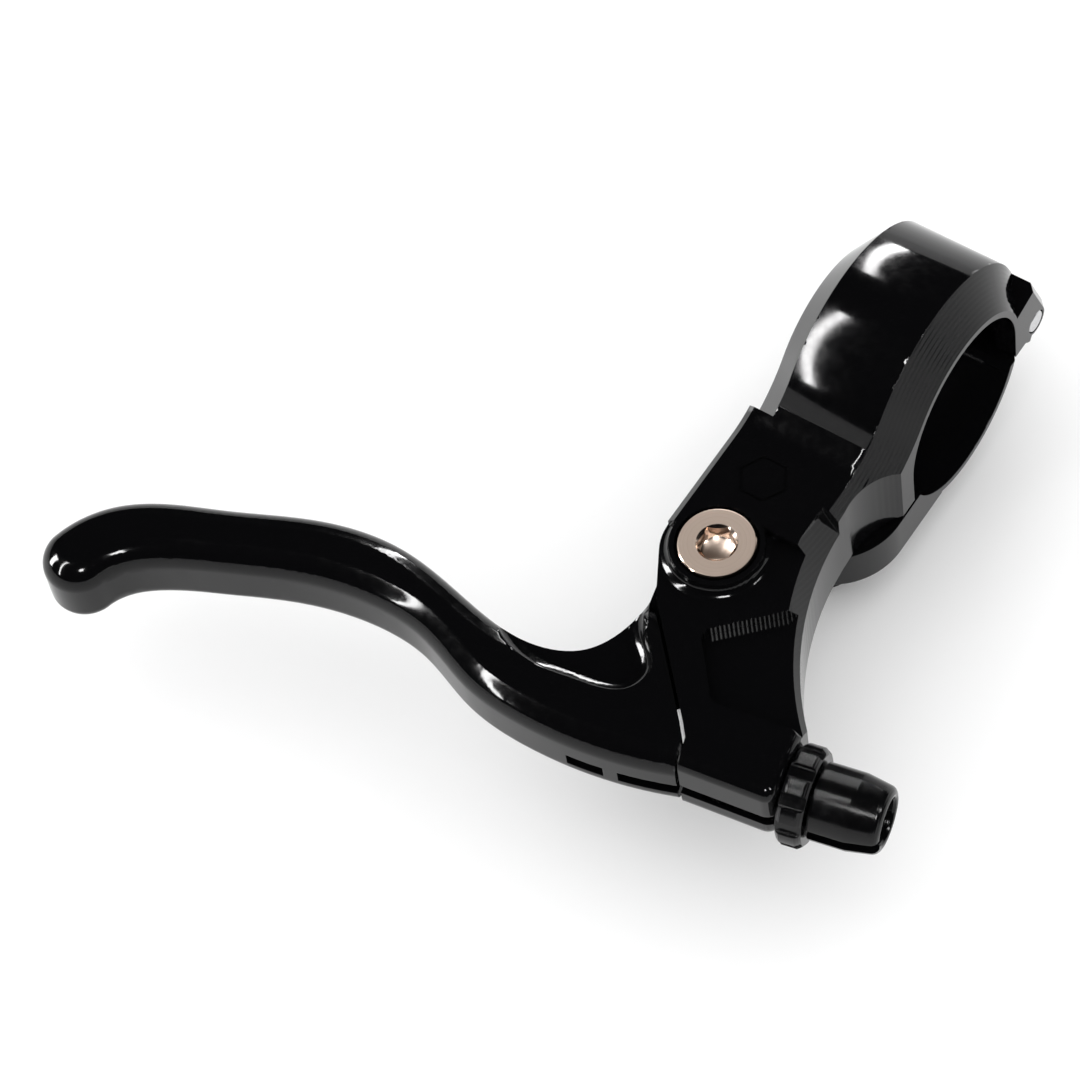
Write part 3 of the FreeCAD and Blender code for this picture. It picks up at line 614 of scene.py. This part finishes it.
class LEVER_OT_adjuster(bpy.types.Operator):
    """Model the cable adjuster: slotted barrel on a threaded stem, and its lobed lock wheel"""
    bl_idname = "lever.adjuster"
    bl_label = "Cable adjuster"

    def execute(self, context):
        adjuster = context.scene.lever_adjuster
        finish = context.scene.lever_finish
        material = turned_black(finish, "Black anodised, lathe marks", adjuster.mark_pitch,
                                LATHE_DEPTH, adjuster.angle)
        carry = cable_frame(adjuster.angle)

        profile = [(-8, 1.2), (-8, 3.1), (-7.6, 3.44)] + thread(-7.6, 3.0, 3.05, 3.5, 1.0)
        profile += [(3.3, 3.05), (3.3, 4.05), (3.42, 4.3), (3.65, 4.4), (7.65, 4.4), (7.75, 4.39),
                    (10.3, 3.95), (10.7, 3.86), (10.98, 3.7), (11.18, 3.45), (11.28, 3.2),
                    (11.3, 3.05), (11.22, 2.82), (11.0, 2.66), (10.8, 2.6), (6.5, 2.6),
                    (6.5, 2.3), (5.3, 2.3), (5.3, 0.9), (-8, 0.9), (-8, 1.2)]
        barrel = turn("adjuster_barrel_turned", profile, sides=112, closed=True)
        nothing_selected()
        bpy.ops.mesh.primitive_cube_add(size=1, location=(-6 * MM, 0, 2 * MM))
        slot = context.object
        slot.scale = (12 * MM, 1.8 * MM, 22 * MM)
        apply_cut(barrel, slot)
        place_on(barrel, carry)
        smoothed(barrel, degrees=30)
        finished(barrel, "barrel", "black_anodised", material, "adjuster_barrel")

        profile = [(0.15, 3.6), (0.15, 5.1), (0.35, 5.4), (0.75, 5.7), (2.55, 5.7), (2.95, 5.4),
                   (3.15, 5.1), (3.15, 3.6), (2.9, 3.56), (0.4, 3.56), (0.15, 3.6)]
        wheel = turn("adjuster_lock_wheel_turned", profile, sides=120, closed=True)
        notches = []
        for k in range(adjuster.lobes):
            nothing_selected()
            bpy.ops.mesh.primitive_cube_add(size=1, location=(5.9 * MM, 0, 1.65 * MM))
            notch = context.object
            notch.scale = (1.5 * MM, 1.75 * MM, 5 * MM)
            bpy.ops.object.transform_apply(location=True, rotation=False, scale=True)
            corner = notch.modifiers.new("corner", "BEVEL")
            corner.width = 0.3 * MM
            corner.segments = 3
            bpy.ops.object.modifier_apply(modifier=corner.name)
            notch.matrix_world = Matrix.Rotation(math.tau * (k + 0.5) / adjuster.lobes, 4, "Z")
            notches.append(notch)
        nothing_selected()
        for notch in notches:
            notch.select_set(True)
        context.view_layer.objects.active = notches[0]
        bpy.ops.object.join()
        apply_cut(wheel, context.object)
        nothing_selected()
        bpy.ops.mesh.primitive_cube_add(size=1, location=(0, -6 * MM, 1.65 * MM))
        slot = context.object
        slot.scale = (1.8 * MM, 12 * MM, 6 * MM)
        apply_cut(wheel, slot)
        place_on(wheel, carry)
        smoothed(wheel, degrees=30)
        finished(wheel, "lock_wheel", "black_anodised", material, "adjuster_lock_wheel")
        return {"FINISHED"}


class LEVER_OT_small_parts(bpy.types.Operator):
    """Finish the hinge pin, sleeve, bushes, washer and seat, which keep their CAD shape"""
    bl_idname = "lever.small_parts"
    bl_label = "Pins and bushes"

    def execute(self, context):
        finish = context.scene.lever_finish
        steel = ground_steel(finish)
        bronze = sintered_bronze(finish)
        oxide = black_oxide(finish)
        for node, material in (("clamp_hinge_pin", steel), ("pivot_sleeve", steel),
                               ("housing_seat", steel), ("clamp_bolt_washer", oxide),
                               ("upper_bush", bronze), ("lower_bush", bronze)):
            bpy.data.objects[node].material_slots[0].material = material
        return {"FINISHED"}


class LEVER_OT_stage(bpy.types.Operator):
    """Lay the paper floor, hang the studio lights and set the camera"""
    bl_idname = "lever.stage"
    bl_label = "Stage"

    def strip(self, name, start, end, wide, radiance):
        """Glowing strip that the object mirrors, between two (azimuth, elevation) directions."""
        ends = []
        for azimuth, elevation in (start, end):
            az, el = math.radians(azimuth), math.radians(elevation)
            ends.append(Vector((math.cos(el) * math.cos(az), math.cos(el) * math.sin(az),
                                math.sin(el))) * STRIP_DISTANCE)
        middle = (ends[0] + ends[1]) / 2
        along = ends[1] - ends[0]
        face = (middle - along * middle.dot(along) / along.length_squared).normalized()
        across = along.normalized().cross(face)
        nothing_selected()
        bpy.ops.mesh.primitive_grid_add(x_subdivisions=2, y_subdivisions=2, size=1)
        sheet = bpy.context.object
        sheet.name = name
        turned = Matrix((across, along.normalized(), face)).transposed().to_4x4()
        width = 2 * STRIP_DISTANCE * math.tan(math.radians(wide) / 2)
        sheet.matrix_world = (Matrix.Translation(middle) @ turned
                              @ Matrix.Diagonal((width, along.length, 1, 1)))
        material, tree = new_material("Panel light, " + name)
        glow = add_node(tree, "ShaderNodeEmission", inputs={
            "Color": (1, 1, 1, 1), "Strength": radiance})
        add_node(tree, "ShaderNodeOutputMaterial", inputs={"Surface": glow.outputs[0]})
        sheet.data.materials.append(material)
        sheet.visible_camera = False
        sheet.visible_diffuse = False
        sheet.visible_shadow = False
        sheet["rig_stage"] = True

    def execute(self, context):
        settings = context.scene.lever_stage
        nothing_selected()
        floor_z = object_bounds()[0][2] - FLOOR_GAP
        bpy.ops.mesh.primitive_circle_add(vertices=96, radius=FLOOR_RADIUS, fill_type="NOTHING",
                                          location=(0, 0, floor_z))
        floor = context.object
        floor.name = "paper_floor"
        bpy.ops.object.mode_set(mode="EDIT")
        bpy.ops.mesh.select_all(action="SELECT")
        bpy.ops.mesh.edge_face_add()
        bpy.ops.mesh.select_mode(type="EDGE")
        bpy.ops.mesh.select_all(action="SELECT")
        for out, rise in FLOOR_SWEEP:
            bpy.ops.mesh.extrude_edges_move(TRANSFORM_OT_translate={"value": (0, 0, rise)})
            bpy.ops.transform.resize(value=(out, out, 1), center_override=(0, 0, floor_z))
        bpy.ops.mesh.select_all(action="SELECT")
        bpy.ops.mesh.normals_make_consistent(inside=True)
        bpy.ops.object.mode_set(mode="OBJECT")
        floor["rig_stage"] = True
        material, tree = new_material("Matt white paper")
        place = add_node(tree, "ShaderNodeTexCoord")
        grain = speckle(tree, place.outputs["Object"], PAPER_GRAIN, low=0.8, high=0.95)
        finish_shader(tree, {"Base Color": linear(settings.floor), "Roughness": grain})
        floor.data.materials.append(material)

        for facts in STRIPS:
            self.strip(*facts)

        nothing_selected()
        bpy.ops.object.light_add(type="AREA", location=(-0.2, 0.35, 0.9))
        overhead = context.object
        overhead.name = "overhead_soft_light"
        overhead.data.shape = "DISK"
        overhead.data.size = 1.4
        overhead.data.energy = 1.0
        overhead.rotation_euler = (-overhead.location).to_track_quat("-Z", "Y").to_euler()
        overhead.visible_glossy = False

        world = bpy.data.worlds.new("Studio air")
        context.scene.world = world
        world.use_nodes = True
        backdrop = world.node_tree.nodes["Background"]
        backdrop.inputs["Color"].default_value = (1, 1, 1, 1)
        backdrop.inputs["Strength"].default_value = 1.25
        world.cycles_visibility.glossy = False
        context.scene.view_settings.view_transform = "Standard"

        bpy.ops.object.camera_add(location=CAMERA_PLACE)
        camera = context.object
        turned = Matrix((CAMERA_RIGHT, -CAMERA_DOWN, -CAMERA_AHEAD)).transposed()
        camera.rotation_euler = turned.to_euler()
        camera.data.lens = settings.lens
        camera.data.sensor_width = 36
        camera.data.clip_start = 0.01
        camera.data.clip_end = 20
        context.scene.camera = camera
        nothing_selected()
        return {"FINISHED"}


class LEVER_PT_parts(bpy.types.Panel):
    """Lists the operators, then each group's settings"""
    bl_label = "Clutch lever"
    bl_idname = "LEVER_PT_parts"
    bl_space_type = "VIEW_3D"
    bl_region_type = "UI"
    bl_category = "Lever"

    def draw(self, context):
        for operator in OPERATORS:
            self.layout.operator(operator.bl_idname)
        for group in GROUPS:
            box = self.layout.box()
            settings = getattr(context.scene, group)
            for name in type(settings).__annotations__:
                box.prop(settings, name)


OPERATORS = (LEVER_OT_bodies, LEVER_OT_pivot_bolt, LEVER_OT_clamp_screw, LEVER_OT_adjuster,
             LEVER_OT_small_parts, LEVER_OT_stage)
GROUPS = {"lever_finish": FinishSettings, "lever_bolts": BoltSettings,
          "lever_adjuster": AdjusterSettings, "lever_stage": StageSettings}
CLASSES = tuple(GROUPS.values()) + OPERATORS + (LEVER_PT_parts,)


def register():
    for cls in CLASSES:
        bpy.utils.register_class(cls)
    for name, group in GROUPS.items():
        setattr(bpy.types.Scene, name, PointerProperty(type=group))


def unregister():
    for name in GROUPS:
        delattr(bpy.types.Scene, name)
    for cls in reversed(CLASSES):
        bpy.utils.unregister_class(cls)


def main():
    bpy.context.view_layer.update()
    register()
    bpy.ops.lever.bodies()
    bpy.ops.lever.pivot_bolt()
    bpy.ops.lever.clamp_screw()
    bpy.ops.lever.adjuster()
    bpy.ops.lever.small_parts()
    bpy.ops.lever.stage()


if __name__ == "__main__":
    main()
